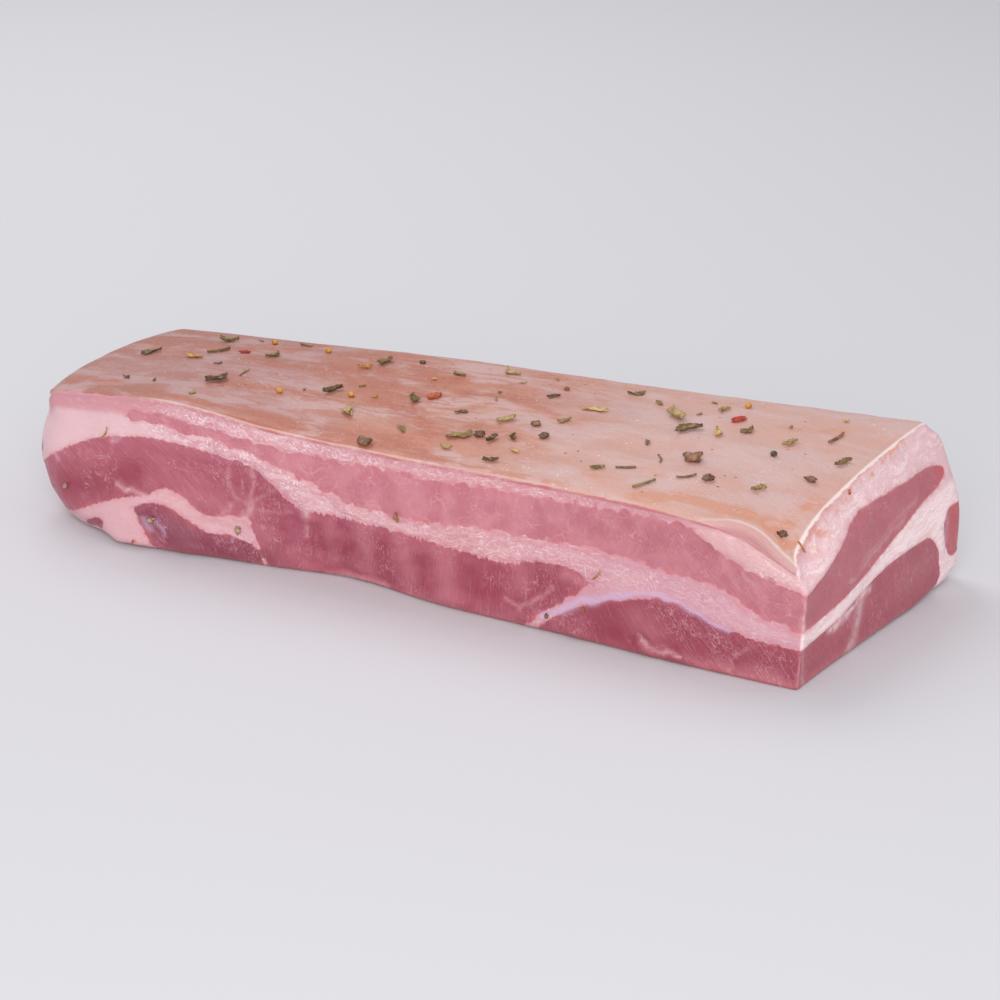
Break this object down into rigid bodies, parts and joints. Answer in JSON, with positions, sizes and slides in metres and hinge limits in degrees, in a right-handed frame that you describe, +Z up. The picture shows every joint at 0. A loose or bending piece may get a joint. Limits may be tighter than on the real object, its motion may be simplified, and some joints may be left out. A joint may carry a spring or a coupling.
{
  "type": "pork belly slab",
  "caption": "Raw pork belly slab lying rind up: muscle layers bedded in fat show at the cut sides, with dried herbs stuck to the rind.",
  "frame": {"origin": "centre of the bounding box in X and Y, on the flat underside in Z", "axes": "+X along the slab from its rounded end to its clean-cut end, -Y out of the long cut side that shows the layers best, +Z up through the rind"},
  "size_m": [0.3116, 0.1118, 0.0563],
  "materials": {
    "fat": "moist semi-matte pale pink fat under a tan-pink rind with dried herbs",
    "upper_lean": "moist satin dusty pink raw muscle with a fine grain",
    "lower_lean": "moist satin raspberry pink raw muscle with a fine grain"
  },
  "bodies": {
    "root": {"fat_and_rind": "fat", "upper_lean": "upper_lean", "long_lower_lean": "lower_lean", "right_lower_lean": "lower_lean", "small_lower_lean": "lower_lean", "back_lean": "lower_lean"}
  },
  "joints": []
}
